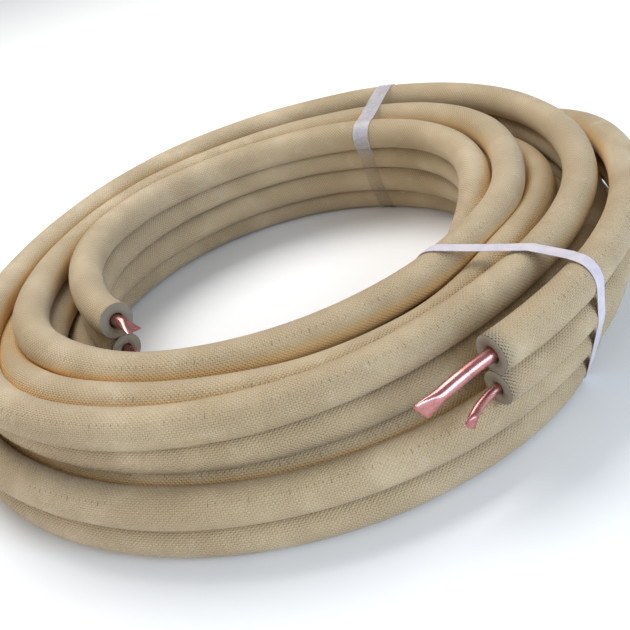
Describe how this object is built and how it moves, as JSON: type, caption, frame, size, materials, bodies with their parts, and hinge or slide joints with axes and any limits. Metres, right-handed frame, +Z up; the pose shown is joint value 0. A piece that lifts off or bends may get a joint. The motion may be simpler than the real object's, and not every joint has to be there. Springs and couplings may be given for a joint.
{
  "type": "coil of twin insulated copper line",
  "caption": "Flat coil of two soft copper tubes in joined beige foam sleeves, wound in turns two twins high, held by two straps, with four pinched bare tube ends.",
  "frame": {"origin": "on the floor under the middle of the object's box", "axes": "+Z up along the coil axis; +Y away from the camera; the outer cut ends point towards -Y at +X"},
  "size_m": [0.5802, 0.5746, 0.1078],
  "materials": {
    "foam": "embossed beige closed-cell foam skin",
    "copper": "drawn bare copper, lightly tarnished",
    "strap_white": "white plastic strapping",
    "strap_clear": "milky half-clear plastic tape"
  },
  "bodies": {
    "root": {"wound_insulated_line": "foam", "sleeve_wide_inner_turn": "foam", "sleeve_narrow_inner_turn": "foam", "sleeve_wide_outer_turn": "foam", "sleeve_narrow_outer_turn": "foam", "copper_wide_inner_end": "copper", "copper_narrow_inner_end": "copper", "copper_wide_outer_end": "copper", "copper_narrow_outer_end": "copper", "strap_front": "strap_white", "strap_back": "strap_clear"}
  },
  "joints": []
}
